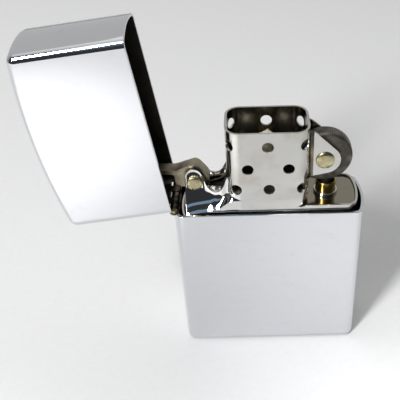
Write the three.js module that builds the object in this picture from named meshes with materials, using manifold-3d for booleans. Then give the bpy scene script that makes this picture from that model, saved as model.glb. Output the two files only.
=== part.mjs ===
// A pocket lighter with a hinged lid, shown open. Millimetres, +Z up, front face towards -Y,
// origin at the centre of the case's bottom face. The lid is drawn shut and then swung open.
import * as THREE from 'three';
import * as BufferGeometryUtils from 'three/addons/utils/BufferGeometryUtils.js';
import Module from 'manifold-3d';

const wasm = await Module();
wasm.setup();

// ---- driving dimensions ----
const caseLength = 38.1;
const caseWidth = 12.7;
const cornerRadius = 1.6;
const endArcRadius = 17;
const wall = 0.6;
const caseTop = 35.35;
const bottomRounding = 1.4;
const seam = 0.12;
const lidTop = 56.85;
const lidArch = 1.54;
const lidRounding = 1.4;
const lidOpenAngle = 97.5;

const hinge = { x: -18.66, z: 35.4, barrelRadius: 0.87, boreRadius: 0.46, pinRadius: 0.4 };
const barrelLength = 1.84;
const barrelPitch = 1.94;
const hingeNotch = { halfWidth: 5.0, drop: 1.05 };
const leaf = { near: -17.68, far: -17.93, halfWidth: 3.8, reach: 5.2 };

const tank = { x: 0.1, halfLength: 17.6, halfWidth: 5.45, corner: 2.2, sheet: 0.45 };
const tankBottom = 0.95;
const tankRim = 36.7;
const tankRimCamSide = 34.2;
const camSideEnd = -8.0;

const chimney = { x: -0.22, halfLength: 7.97, halfWidth: 5.2, corner: 2.8, sheet: 0.45 };
const chimneyBottom = 36.4;
const chimneyTop = 52.95;
const ventRadius = 1.1;
const ventRows = [
  { z: 50.0, offsets: [-7.25, 0, 7.0] },
  { z: 45.2, offsets: [-3.8, 3.9] },
  { z: 40.6, offsets: [-6.1, 0.2, 6.5] },
];

const wheel = { x: 10.75, z: 45.15, radius: 5.4, root: 5.15, halfWidth: 1.5, teeth: 44 };
const wheelHub = { radius: 2.6, halfWidth: 1.75, bore: 1.0 };
const wheelEar = { outer: 2.4, sheet: 0.5, radius: 3.0 };
const wheelSlotGap = 0.35;
const wheelRivet = { shaft: 0.92, head: 1.8, dome: 0.55 };

const cam = { x: -14.4, z: 40.65, halfWidth: 1.3, bore: 0.75 };
const camEar = { outer: 2.6, sheet: 0.45 };
const camRivet = { shaft: 0.7, head: 1.5, dome: 0.45 };

const plateTop = 36.3;
const plateThickness = 0.35;
const camBedTop = 34.95;

const flintAxisX = 11.3;
const tube = { outer: 2.0, inner: 1.25, bottom: 2.7, top: 39.2 };
const collar = { outer: 2.4, inner: 2.05, bottom: 36.35, top: 37.0 };
const flint = { radius: 1.17, bottom: 34.8, top: 39.7 };
const springTip = { radius: 1.15, bottom: 31.7, top: 34.7 };
const spring = { coil: 0.85, wire: 0.13, bottom: 6.4, top: 31.5, turns: 16 };
const screw = { head: 2.1, slot: 0.7, bottom: 1.15, headTop: 2.45, shank: 1.18, top: 6.1 };

const wick = { radius: 1.45, bottom: 10, top: 50.2 };
const wickHole = 1.6;
const cottonPads = 5;
const felt = { bottom: 1.5, top: 3.8 };
const padGap = 0.3;

// ---- materials ----
const chrome = { color: 0xd9dadb, roughness: 0.08, metalness: 1.0 };
const steel = { color: 0xb9b7ae, roughness: 0.25, metalness: 1.0 };
const darkSteel = { color: 0x4c4a46, roughness: 0.45, metalness: 1.0 };
const brass = { color: 0xb99a45, roughness: 0.25, metalness: 1.0 };
const cloth = { color: 0xe4ddc8, roughness: 0.95, metalness: 0.0 };

const group = new THREE.Group();

function addNode(name, geometry, look) {
  const mesh = new THREE.Mesh(geometry, new THREE.MeshStandardMaterial(look));
  mesh.name = name;
  group.add(mesh);
}

// ---- solids and booleans ----
function toSolid(geometry) {
  const bare = geometry.clone();
  bare.deleteAttribute('normal');
  bare.deleteAttribute('uv');
  const merged = BufferGeometryUtils.mergeVertices(bare, 1e-5);
  return new wasm.Manifold(new wasm.Mesh({
    numProp: 3,
    vertProperties: new Float32Array(merged.attributes.position.array),
    triVerts: new Uint32Array(merged.index.array),
  }));
}

function toGeometry(solid) {
  const mesh = solid.getMesh();
  const geometry = new THREE.BufferGeometry();
  geometry.setAttribute('position', new THREE.BufferAttribute(new Float32Array(mesh.vertProperties), 3));
  geometry.setIndex(new THREE.BufferAttribute(new Uint32Array(mesh.triVerts), 1));
  geometry.computeVertexNormals();
  return geometry;
}

function join(geometries) {
  let solid = toSolid(geometries[0]);
  for (const geometry of geometries.slice(1)) {
    solid = solid.add(toSolid(geometry));
  }
  return toGeometry(solid);
}

function cut(geometry, cutters) {
  let solid = toSolid(geometry);
  for (const cutter of cutters) {
    solid = solid.subtract(toSolid(cutter));
  }
  return toGeometry(solid);
}

// ---- basic shapes ----
function box(x0, x1, y0, y1, z0, z1) {
  const geometry = new THREE.BoxGeometry(x1 - x0, y1 - y0, z1 - z0);
  return geometry.translate((x0 + x1) / 2, (y0 + y1) / 2, (z0 + z1) / 2);
}

function rodAlongY(x, z, radius, y0, y1, segments = 24) {
  const geometry = new THREE.CylinderGeometry(radius, radius, y1 - y0, segments);
  return geometry.translate(x, (y0 + y1) / 2, z);
}

function rodAlongZ(x, y, radius, z0, z1, segments = 32) {
  const geometry = new THREE.CylinderGeometry(radius, radius, z1 - z0, segments);
  return geometry.rotateX(Math.PI / 2).translate(x, y, (z0 + z1) / 2);
}

// points are [radius, z] pairs that start and end on the axis, from low z to high z
function turnedAboutZ(x, y, points, segments = 32) {
  const profile = points.map(([radius, z]) => new THREE.Vector2(radius, z));
  const geometry = new THREE.LatheGeometry(profile, segments);
  return geometry.rotateX(Math.PI / 2).translate(x, y, 0);
}

function shapeFrom(points) {
  return new THREE.Shape(points.map(([u, v]) => new THREE.Vector2(u, v)));
}

// a flat sheet or block drawn in X and Y
function plateXY(points, z0, z1) {
  const options = { depth: z1 - z0, bevelEnabled: false };
  return new THREE.ExtrudeGeometry(shapeFrom(points), options).translate(0, 0, z0);
}

// a flat sheet or block drawn in X and Z
function plateXZ(points, y0, y1) {
  const options = { depth: y1 - y0, bevelEnabled: false };
  return new THREE.ExtrudeGeometry(shapeFrom(points), options).rotateX(Math.PI / 2).translate(0, y1, 0);
}

function arc(cx, cy, radius, fromDegrees, toDegrees, segments) {
  const points = [];
  for (let i = 0; i <= segments; i += 1) {
    const angle = THREE.MathUtils.degToRad(fromDegrees + (toDegrees - fromDegrees) * i / segments);
    points.push([cx + radius * Math.cos(angle), cy + radius * Math.sin(angle)]);
  }
  return points;
}

// A closed outline with flat long sides, rounded corners and bowed ends, mirrored about y = 0.
// The first half runs along +y from the right end to the left end.
function bowedOutline(size, inset) {
  const endRadius = size.endArc - inset;
  const corner = size.corner - inset;
  const endCentre = size.halfLength - size.endArc;
  const cornerY = size.halfWidth - size.corner;
  const cornerX = endCentre + Math.sqrt((size.endArc - size.corner) ** 2 - cornerY ** 2);
  const tangent = THREE.MathUtils.radToDeg(Math.atan2(cornerY, cornerX - endCentre));
  const right = arc(endCentre, 0, endRadius, 0, tangent, 3);
  right.push(...arc(cornerX, cornerY, corner, tangent, 90, 5).slice(1));
  const left = right.map(([x, y]) => [-x, y]).reverse();
  const sideSteps = 8;
  const side = [];
  for (let i = 1; i < sideSteps; i += 1) {
    side.push([cornerX * (1 - 2 * i / sideSteps), size.halfWidth - inset]);
  }
  const half = [...right, ...side, ...left];
  const otherHalf = half.slice(1, -1).reverse().map(([x, y]) => [x, -y]);
  return [...half, ...otherHalf].map(([x, y]) => [x + size.x, y]);
}

function geometryFromTriangles(points, triangles) {
  const geometry = new THREE.BufferGeometry();
  geometry.setAttribute('position', new THREE.Float32BufferAttribute(points.flat(), 3));
  geometry.setIndex(triangles.flat());
  geometry.computeVertexNormals();
  return geometry;
}

// Joins a stack of mirrored rings, listed from the outer cap to the inner cap, into one closed skin.
function cupFromRings(rings) {
  const count = rings[0].length;
  const half = count / 2;
  const triangles = [];
  for (let k = 0; k < rings.length - 1; k += 1) {
    for (let i = 0; i < count; i += 1) {
      const a = k * count + i;
      const b = k * count + (i + 1) % count;
      triangles.push([a, b, b + count], [a, b + count, a + count]);
    }
  }
  const capStrip = (start, flip) => {
    for (let i = 0; i < half; i += 1) {
      const a = start + i;
      const b = start + i + 1;
      const c = start + (count - i - 1) % count;
      const d = start + (count - i) % count;
      const pair = i === half - 1 ? [[a, b, d]] : [[a, b, c], [a, c, d]];
      for (const [p, q, r] of i === 0 ? [[a, b, c]] : pair) {
        triangles.push(flip ? [p, r, q] : [p, q, r]);
      }
    }
  };
  capStrip(0, true);
  capStrip((rings.length - 1) * count, false);
  return geometryFromTriangles(rings.flat(), triangles);
}

// ---- outer case and lid ----
const caseOutline = {
  x: 0, halfLength: caseLength / 2, halfWidth: caseWidth / 2, corner: cornerRadius, endArc: endArcRadius,
};

function ring(inset, heightAt) {
  return bowedOutline(caseOutline, inset).map(([x, y]) => [x, y, heightAt(x)]);
}

function roundedRings(insetStart, radius, heightAt, steps) {
  const rings = [];
  for (let i = 0; i <= steps; i += 1) {
    const angle = Math.PI / 2 * i / steps;
    const inset = insetStart + radius * (1 - Math.sin(angle));
    rings.push(ring(inset, (x) => heightAt(x, radius * (1 - Math.cos(angle)))));
  }
  return rings;
}

function caseShell() {
  const outer = roundedRings(0, bottomRounding, (x, rise) => rise, 4);
  const inner = roundedRings(wall, bottomRounding - wall, (x, rise) => wall + rise, 4).reverse();
  const rim = [ring(0, () => caseTop), ring(wall, () => caseTop)];
  const cup = cupFromRings([...outer, ...rim, ...inner]);
  const notch = box(-20, -17, -hingeNotch.halfWidth, hingeNotch.halfWidth, hinge.z - hingeNotch.drop, 40);
  return cut(cup, [notch]);
}

function swingOpen(geometry) {
  geometry.translate(-hinge.x, 0, -hinge.z);
  geometry.rotateY(-THREE.MathUtils.degToRad(lidOpenAngle));
  return geometry.translate(hinge.x, 0, hinge.z);
}

function lidShell() {
  const arch = (x) => lidArch * (x / (caseLength / 2)) ** 2;
  const outerTop = (x, drop) => lidTop - arch(x) - drop;
  const innerTop = (x, drop) => lidTop - wall - arch(x) - drop;
  const rimHeight = caseTop + seam;
  const outer = roundedRings(0, lidRounding, outerTop, 4);
  const inner = roundedRings(wall, lidRounding - wall, innerTop, 4).reverse();
  const rim = [ring(0, () => rimHeight), ring(wall, () => rimHeight)];
  const rings = [...outer, ...rim, ...inner];
  const cup = cupFromRings(rings.map((points) => points.map(([x, y, z]) => [x, -y, z])));
  const notchTop = hinge.z + hingeNotch.drop;
  const notch = box(-20, -17, -hingeNotch.halfWidth, hingeNotch.halfWidth, 30, notchTop);
  return swingOpen(cut(cup, [notch]));
}

// ---- hinge ----
function barrelSpan(index) {
  const middle = (index - 2) * barrelPitch;
  return [middle - barrelLength / 2, middle + barrelLength / 2];
}

// side is -1 for the case leaf, which hangs below the pin, and +1 for the lid leaf above it
function hingeLeaf(side, ownBarrels, otherBarrels) {
  const low = Math.min(hinge.z, hinge.z + side * leaf.reach);
  const high = Math.max(hinge.z, hinge.z + side * leaf.reach);
  const pieces = [box(leaf.far, leaf.near, -leaf.halfWidth, leaf.halfWidth, low, high)];
  for (const index of ownBarrels) {
    pieces.push(rodAlongY(hinge.x, hinge.z, hinge.barrelRadius, ...barrelSpan(index), 24));
  }
  const cutters = [rodAlongY(hinge.x, hinge.z, hinge.boreRadius, -8, 8, 24)];
  const clear = 0.1;
  for (const index of otherBarrels) {
    const [y0, y1] = barrelSpan(index);
    const z0 = side < 0 ? hinge.z - hinge.barrelRadius - clear : hinge.z - 2;
    const z1 = side < 0 ? hinge.z + 2 : hinge.z + hinge.barrelRadius + clear;
    cutters.push(box(-20, -17, y0 - clear / 2, y1 + clear / 2, z0, z1));
  }
  return cut(join(pieces), cutters);
}

addNode('case_shell', caseShell(), chrome);
addNode('lid_shell', lidShell(), chrome);
addNode('case_hinge_leaf', hingeLeaf(-1, [0, 2, 4], [1, 3]), chrome);
addNode('lid_hinge_leaf', swingOpen(hingeLeaf(1, [1, 3], [0, 2, 4])), chrome);
const pinHalf = 2.5 * barrelPitch;
addNode('hinge_pin', rodAlongY(hinge.x, hinge.z, hinge.pinRadius, -pinHalf, pinHalf, 20), steel);

// ---- insert shell: tank walls, chimney and four ears ----
const tankOutline = { ...tank, endArc: endArcRadius };
const chimneyOutline = { ...chimney, endArc: 60 };

function tube2D(outline, sheet, z0, z1) {
  const shell = plateXY(bowedOutline(outline, 0), z0, z1);
  return cut(shell, [plateXY(bowedOutline(outline, sheet), z0 - 1, z1 + 1)]);
}

function chimneyVents() {
  const cutters = [];
  const straightHalf = chimney.halfLength - chimney.corner;
  const cornerY = chimney.halfWidth - chimney.corner;
  for (const row of ventRows) {
    for (const offset of row.offsets) {
      for (const face of [-1, 1]) {
        const overrun = Math.max(0, Math.abs(offset) - straightHalf);
        const lean = Math.sign(offset) * Math.asin(overrun / chimney.corner);
        const drill = new THREE.CylinderGeometry(ventRadius, ventRadius, 6, 20);
        drill.translate(0, face * (chimney.corner + 1), 0);
        drill.rotateZ(-face * lean);
        const centreX = overrun > 0 ? Math.sign(offset) * straightHalf : offset;
        cutters.push(drill.translate(chimney.x + centreX, face * cornerY, row.z));
      }
    }
  }
  return cutters;
}

// The wheel's ear in X and Z: a tab folded out of the chimney's end wall, ending in a round
// about the rivet.
function wheelEarOutline() {
  const root = 7.45;
  const round = arc(wheel.x, wheel.z, wheelEar.radius, -80, 45, 8);
  return [[root, 41.45], ...round, [9.4, 50.7], [8.7, 51.2], [root, 51.6]];
}

function wheelEars() {
  const inner = wheelEar.outer - wheelEar.sheet;
  return [
    plateXZ(wheelEarOutline(), -wheelEar.outer, -inner),
    plateXZ(wheelEarOutline(), inner, wheelEar.outer),
  ];
}

// The cam's ear by columns: x, where the tank's face starts to fold in, how deep the ear stands
// behind that face, and the height of its edge: round over the rivet, a valley, then the chimney.
const camEarColumns = [
  [-16.2, 34.6, 2.85, 41.8], [-16.0, 34.65, 2.85, 42.4], [-15.4, 34.8, 2.85, 43.1], [-14.4, 35.05, 2.85, 43.35],
  [-13.5, 35.3, 2.85, 43.0], [-12.9, 35.45, 2.85, 42.2], [-12.4, 35.65, 2.7, 41.0], [-11.8, 35.85, 2.5, 39.85],
  [-11.0, 36.1, 2.3, 39.3], [-10.2, 36.35, 2.15, 39.25], [-9.4, 36.85, 2.1, 39.7], [-8.6, 37.4, 2.0, 41.0],
  [-8.2, 37.7, 1.9, 42.2], [-7.8, 37.95, 1.8, 42.4],
];
const camEarTurn = 39.3; // the sheet stands upright from here up

function camEarSection([x, low, inset, edge]) {
  const rise = Math.min(camEarTurn, edge - 0.3) - low;
  const face = [[0, 33.4]];
  for (const t of [0, 0.12, 0.3, 0.5, 0.75, 1]) {
    face.push([inset * (1 - (1 - t) ** 1.5), low + rise * t]);
  }
  face.push([inset, edge]);
  const back = face.map(([depth, z]) => [depth + camEar.sheet, z]).reverse();
  return [...face, ...back].map(([depth, z]) => [x, -tank.halfWidth + depth, z]);
}

function camEarSheet() {
  const sections = camEarColumns.map(camEarSection);
  const count = sections[0].length;
  const triangles = [];
  for (let k = 0; k < sections.length - 1; k += 1) {
    for (let i = 0; i < count; i += 1) {
      const a = k * count + i;
      const b = k * count + (i + 1) % count;
      triangles.push([a, a + count, b + count], [a, b + count, b]);
    }
  }
  const capSection = (k, flip) => {
    const flat = sections[k].map(([, y, z]) => new THREE.Vector2(y, z));
    for (const [p, q, r] of THREE.ShapeUtils.triangulateShape(flat, [])) {
      const start = k * count;
      triangles.push(flip ? [start + p, start + r, start + q] : [start + p, start + q, start + r]);
    }
  };
  capSection(0, true);
  capSection(sections.length - 1, false);
  return geometryFromTriangles(sections.flat(), triangles);
}

function mirrored(geometry) {
  const copy = geometry.clone().scale(1, -1, 1);
  const index = copy.index.array;
  for (let i = 0; i < index.length; i += 3) {
    [index[i + 1], index[i + 2]] = [index[i + 2], index[i + 1]];
  }
  return copy;
}

function insertShell() {
  const tankWalls = cut(tube2D(tankOutline, tank.sheet, tankBottom, tankRim), [
    box(-20, camSideEnd, -8, 8, tankRimCamSide, 40),
  ]);
  const chimneyWalls = tube2D(chimneyOutline, chimney.sheet, chimneyBottom, chimneyTop);
  const earSheet = camEarSheet();
  const apron = [[-8.2, 33.4], [6.4, 33.4], [6.4, 37.6], [5.9, 38.1], [-7.4, 38.1], [-8.2, 37.7]];
  const apronInner = tank.halfWidth - tank.sheet;
  const whole = join([
    tankWalls, chimneyWalls, ...wheelEars(), earSheet, mirrored(earSheet),
    plateXZ(apron, -tank.halfWidth, -apronInner), plateXZ(apron, apronInner, tank.halfWidth),
  ]);
  const slits = [-1, 1].map((face) => join([
    box(6.4, 9.5, face * 5.5 - 0.9, face * 5.5 + 0.9, tankRim, tankRim + 0.8),
    rodAlongY(6.4, tankRim + 0.4, 0.4, face * 5.5 - 0.9, face * 5.5 + 0.9, 12),
  ]));
  // the wheel dips through the chimney's end wall, so its sparks reach the wick
  const wheelSlot = rodAlongY(
    wheel.x, wheel.z, wheel.radius + wheelSlotGap,
    -wheel.halfWidth - wheelSlotGap, wheel.halfWidth + wheelSlotGap, 40,
  );
  return cut(whole, [
    ...chimneyVents(),
    ...slits,
    wheelSlot,
    rodAlongY(wheel.x, wheel.z, wheelRivet.shaft + 0.04, -8, 8, 24),
    rodAlongY(cam.x, cam.z, camRivet.shaft + 0.04, -8, 8, 24),
  ]);
}

addNode('insert_shell', insertShell(), steel);

// ---- plates inside the insert ----
function plateInTank(x0, x1, z0, z1) {
  const plate = toSolid(plateXY(bowedOutline(tankOutline, tank.sheet + 0.08), z0, z1));
  return toGeometry(plate.intersect(toSolid(box(x0, x1, -8, 8, z0 - 1, z1 + 1))));
}

addNode('tank_plate', cut(plateInTank(camSideEnd + 0.1, 20, plateTop - plateThickness, plateTop), [
  rodAlongZ(chimney.x, 0, wickHole, 30, 40, 24),
  rodAlongZ(flintAxisX, 0, tube.outer + 0.06, 30, 40, 24),
]), steel);

const springRivetX = -10.6;
const camSpringBase = camBedTop + 0.05;
addNode('cam_bed', cut(plateInTank(-20, camSideEnd - 0.1, camBedTop - plateThickness, camBedTop), [
  rodAlongZ(springRivetX, 0, 0.5, 30, 40, 20),
]), steel);

// A hairpin of spring strip: flat on the bed, curled up at its right end, bearing under the cam.
function camSpringStrip() {
  const thickness = 0.25;
  const lower = [[-15.6, camSpringBase], [-9.9, camSpringBase]];
  const bend = arc(-9.9, camSpringBase + 0.95, 0.95, -90, 100, 8).slice(1);
  const arm = [[-13.6, camSpringBase + 2.35], [-15.4, camSpringBase + 2.4], [-16.6, camSpringBase + 2.0]];
  const outside = [...lower, ...bend, ...arm];
  const inside = outside.map(([x, z], i) => {
    const [px, pz] = outside[Math.max(0, i - 1)];
    const [nx, nz] = outside[Math.min(outside.length - 1, i + 1)];
    const length = Math.hypot(nx - px, nz - pz);
    return [x - thickness * (nz - pz) / length, z + thickness * (nx - px) / length];
  });
  return [...outside, ...inside.reverse()];
}

addNode('cam_spring', cut(plateXZ(camSpringStrip(), -1.6, 1.6), [
  rodAlongZ(springRivetX, 0, 0.5, camSpringBase - 1, camSpringBase + 1, 20),
]), steel);
addNode('cam_spring_rivet', turnedAboutZ(springRivetX, 0, [
  [0, camBedTop - 0.75], [0.8, camBedTop - 0.7], [0.8, camBedTop - 0.4], [0.46, camBedTop - 0.4],
  [0.46, camSpringBase + 0.3], [0.8, camSpringBase + 0.3], [0.55, camSpringBase + 0.6],
  [0, camSpringBase + 0.7],
], 20), steel);

// ---- rivets across the ears ----
function crossRivet(x, z, size, reach) {
  const shoulder = reach + 0.02;
  const profile = [
    [0, -shoulder - size.dome], [0.55 * size.head, -shoulder - 0.85 * size.dome],
    [0.88 * size.head, -shoulder - 0.5 * size.dome], [size.head, -shoulder - 0.12],
    [size.head, -shoulder], [size.shaft, -shoulder],
  ];
  const other = profile.map(([radius, y]) => [radius, -y]).reverse();
  const points = [...profile, ...other].map(([radius, y]) => new THREE.Vector2(radius, y));
  return new THREE.LatheGeometry(points, 28).translate(x, 0, z);
}

addNode('wheel_rivet', crossRivet(wheel.x, wheel.z, wheelRivet, wheelEar.outer), steel);
addNode('cam_rivet', crossRivet(cam.x, cam.z, camRivet, camEar.outer), steel);

// ---- flint wheel ----
function flintWheel() {
  const rim = [];
  for (let i = 0; i < wheel.teeth; i += 1) {
    const angle = 2 * Math.PI * i / wheel.teeth;
    const lean = 0.35 * 2 * Math.PI / wheel.teeth;
    rim.push([wheel.x + wheel.radius * Math.cos(angle), wheel.z + wheel.radius * Math.sin(angle)]);
    rim.push([
      wheel.x + wheel.root * Math.cos(angle + lean),
      wheel.z + wheel.root * Math.sin(angle + lean),
    ]);
  }
  const disc = plateXZ(rim, -wheel.halfWidth, wheel.halfWidth);
  const hub = rodAlongY(wheel.x, wheel.z, wheelHub.radius, -wheelHub.halfWidth, wheelHub.halfWidth, 28);
  return cut(join([disc, hub]), [rodAlongY(wheel.x, wheel.z, wheelHub.bore, -8, 8, 28)]);
}

addNode('flint_wheel', flintWheel(), darkSteel);

// ---- cam lever, with its toe reaching into the open lid ----
const camOutline = [
  [-14.2, 44.1], [-16.2, 43.45], [-18.2, 42.85], [-21.3, 42.85], [-21.6, 42.6], [-21.55, 42.2],
  [-21.3, 42.0], [-18.9, 41.85], [-18.3, 41.4], [-18.2, 39.9], [-17.7, 39.4], [-16.4, 38.9],
  [-15.3, 38.4], [-14.2, 38.2], [-13.0, 38.4], [-12.1, 39.0], [-11.6, 39.8], [-11.5, 40.7],
  [-11.8, 41.6], [-12.5, 42.6], [-13.4, 43.7],
];
addNode('cam_lever', cut(plateXZ(camOutline, -cam.halfWidth, cam.halfWidth), [
  rodAlongY(cam.x, cam.z, cam.bore, -8, 8, 24),
]), darkSteel);

// ---- flint column ----
function sleeve(size, segments) {
  const points = [
    [size.inner, size.bottom], [size.outer, size.bottom], [size.outer, size.top],
    [size.inner, size.top], [size.inner, size.bottom],
  ];
  return turnedAboutZ(flintAxisX, 0, points, segments);
}

function pointedRod(size) {
  const edge = 0.25;
  return turnedAboutZ(flintAxisX, 0, [
    [0, size.bottom], [size.radius - edge, size.bottom], [size.radius, size.bottom + edge],
    [size.radius, size.top - edge], [size.radius - edge, size.top], [0, size.top],
  ], 24);
}

function flintSpring() {
  const stepsPerTurn = 10;
  const steps = spring.turns * stepsPerTurn;
  const sides = 5;
  const points = [];
  const triangles = [];
  const middleLow = spring.bottom + spring.wire;
  const middleHigh = spring.top - spring.wire;
  for (let k = 0; k <= steps; k += 1) {
    const angle = 2 * Math.PI * k / stepsPerTurn;
    const z = middleLow + (middleHigh - middleLow) * k / steps;
    for (let i = 0; i < sides; i += 1) {
      const around = 2 * Math.PI * i / sides;
      const radius = spring.coil + spring.wire * Math.cos(around);
      points.push([
        flintAxisX + radius * Math.cos(angle), radius * Math.sin(angle), z + spring.wire * Math.sin(around),
      ]);
    }
  }
  for (let k = 0; k < steps; k += 1) {
    for (let i = 0; i < sides; i += 1) {
      const a = k * sides + i;
      const b = k * sides + (i + 1) % sides;
      triangles.push([a, b + sides, b], [a, a + sides, b + sides]);
    }
  }
  for (let i = 1; i < sides - 1; i += 1) {
    triangles.push([0, i, i + 1], [steps * sides, steps * sides + i + 1, steps * sides + i]);
  }
  return geometryFromTriangles(points, triangles);
}

function flintScrew() {
  const profile = [
    [0, screw.bottom], [screw.head - 0.2, screw.bottom], [screw.head, screw.bottom + 0.2],
    [screw.head, screw.headTop], [screw.shank, screw.headTop],
  ];
  const pitch = 0.6;
  for (let z = screw.headTop + 0.4; z < screw.top - pitch; z += pitch) {
    profile.push([screw.shank, z], [screw.shank - 0.15, z + pitch / 2]);
  }
  profile.push([screw.shank, screw.top - 0.2], [screw.shank - 0.2, screw.top], [0, screw.top]);
  const slotHalf = screw.slot / 2;
  const slot = box(flintAxisX - 3, flintAxisX + 3, -slotHalf, slotHalf, 0, screw.bottom + 0.7);
  return cut(turnedAboutZ(flintAxisX, 0, profile, 28), [slot]);
}

addNode('flint_tube', sleeve(tube, 32), brass);
addNode('tube_collar', sleeve(collar, 32), steel);
addNode('flint', pointedRod(flint), darkSteel);
addNode('spring_tip', pointedRod(springTip), brass);
addNode('flint_spring', flintSpring(), steel);
addNode('flint_screw', flintScrew(), brass);

// ---- wick, cotton and felt ----
addNode('wick', rodAlongZ(chimney.x, 0, wick.radius, wick.bottom, wick.top, 20), cloth);

const packing = plateXY(bowedOutline(tankOutline, tank.sheet + padGap), 0, 1);
function padInTank(z0, z1, cutters) {
  return cut(packing.clone().scale(1, 1, z1 - z0).translate(0, 0, z0), cutters);
}

const cottonBottom = felt.top + padGap;
const cottonTop = camBedTop - plateThickness - 0.6;
const padPitch = (cottonTop - cottonBottom + padGap) / cottonPads;
for (let i = 0; i < cottonPads; i += 1) {
  const z0 = cottonBottom + i * padPitch;
  const z1 = z0 + padPitch - padGap;
  const cutters = [rodAlongZ(flintAxisX, 0, tube.outer + padGap, 0, 40, 20)];
  if (z1 > wick.bottom) {
    cutters.push(rodAlongZ(chimney.x, 0, wick.radius + padGap, wick.bottom - padGap, 40, 20));
  }
  addNode(`cotton_pad_${i + 1}`, padInTank(z0, z1, cutters), cloth);
}
addNode('felt_pad', padInTank(felt.bottom, felt.top, [
  rodAlongZ(flintAxisX, 0, screw.head + padGap, 0, 40, 24),
]), { color: 0xcfc9ba, roughness: 0.95, metalness: 0.0 });

export default group;
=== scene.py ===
"""A pocket lighter, lid open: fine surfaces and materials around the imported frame.

Shapes are drawn in millimetres and turned into metres by MM. The lid is drawn shut and swung open.
"""
import math
from math import cos, pi, radians, sin

import bmesh
import bpy
from mathutils import Matrix, Vector, noise
from mathutils.geometry import delaunay_2d_cdt


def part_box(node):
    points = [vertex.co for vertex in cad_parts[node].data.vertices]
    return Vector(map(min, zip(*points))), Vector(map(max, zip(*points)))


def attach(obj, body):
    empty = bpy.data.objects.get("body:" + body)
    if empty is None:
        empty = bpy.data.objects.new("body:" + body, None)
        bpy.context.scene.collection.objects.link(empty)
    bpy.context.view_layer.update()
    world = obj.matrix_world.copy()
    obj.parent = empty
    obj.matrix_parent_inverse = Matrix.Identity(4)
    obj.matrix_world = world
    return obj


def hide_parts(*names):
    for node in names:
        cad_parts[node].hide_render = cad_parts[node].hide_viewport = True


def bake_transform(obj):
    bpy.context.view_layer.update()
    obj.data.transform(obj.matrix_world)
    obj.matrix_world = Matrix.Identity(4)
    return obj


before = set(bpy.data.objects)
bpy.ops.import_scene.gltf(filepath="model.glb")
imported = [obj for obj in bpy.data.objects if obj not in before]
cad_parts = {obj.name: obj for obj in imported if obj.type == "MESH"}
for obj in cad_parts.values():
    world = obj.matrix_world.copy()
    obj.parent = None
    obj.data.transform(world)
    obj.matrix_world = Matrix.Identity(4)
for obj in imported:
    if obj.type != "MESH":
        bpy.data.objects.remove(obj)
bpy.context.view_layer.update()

MM = 0.001

# ---- driving dimensions, mm ----
CASE = {"x": 0.0, "half_length": 19.05, "half_width": 6.35, "corner": 1.6, "end_arc": 17.0}
WALL = 0.6
CASE_TOP = 35.35
BOTTOM_ROUNDING = 1.4
SEAM = 0.12
LID_TOP = 56.85
LID_ARCH = 1.54
LID_ROUNDING = 1.4
LID_OPEN = radians(97.5)
LIP = 0.12

HINGE_X, HINGE_Z = -18.66, 35.4
BARREL_RADIUS, BARREL_BORE, PIN_RADIUS = 0.87, 0.46, 0.4
BARREL_LENGTH, BARREL_PITCH = 1.84, 1.94
NOTCH_HALF, NOTCH_DROP = 5.0, 1.05
LEAF_NEAR, LEAF_FAR, LEAF_HALF, LEAF_REACH = -17.68, -17.93, 3.8, 5.2

TANK = {"x": 0.1, "half_length": 17.6, "half_width": 5.45, "corner": 2.2, "end_arc": 17.0}
TANK_BOTTOM, TANK_RIM, TANK_RIM_CAM = 0.95, 36.7, 34.2
CAM_SIDE_END = -8.0
SHEET = 0.45
LAP = 0.012  # sheets that lie on one another are kept this far apart
CHIMNEY = {"x": -0.22, "half_length": 7.97, "half_width": 5.2, "corner": 2.8, "end_arc": 60.0}
CHIMNEY_BOTTOM, CHIMNEY_TOP = 36.4, 52.95
CHIMNEY_FOOT, FOOT_END_X, SLIT_X = 33.0, 6.4, 6.6
FLARE_TOP, FLARE_HEIGHT = 41.0, 3.4
VENT_RADIUS = 1.1
VENT_ROWS = [(50.0, [-7.25, 0.0, 7.0]), (45.2, [-3.8, 3.9]), (40.6, [-6.1, 0.2, 6.5])]

WHEEL_X, WHEEL_Z, WHEEL_RADIUS, WHEEL_HALF = 10.75, 45.15, 5.4, 1.5
WHEEL_TEETH, TOOTH_DEPTH = 80, 0.1
WHEEL_SLOT_GAP = 0.35
HUB_RADIUS, HUB_HALF, HUB_BORE = 2.6, 1.75, 1.0
WHEEL_EAR_OUTER, WHEEL_EAR_SHEET, WHEEL_EAR_RADIUS = 2.4, 0.5, 3.0
EAR_FILLET = 0.85
WHEEL_RIVET = {"shaft": 0.92, "head": 1.8, "dome": 0.55}

CAM_X, CAM_Z, CAM_HALF, CAM_BORE = -14.4, 40.65, 1.3, 0.75
CAM_EAR_OUTER = 2.72
CAM_RIVET = {"shaft": 0.7, "head": 1.5, "dome": 0.45}

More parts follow.
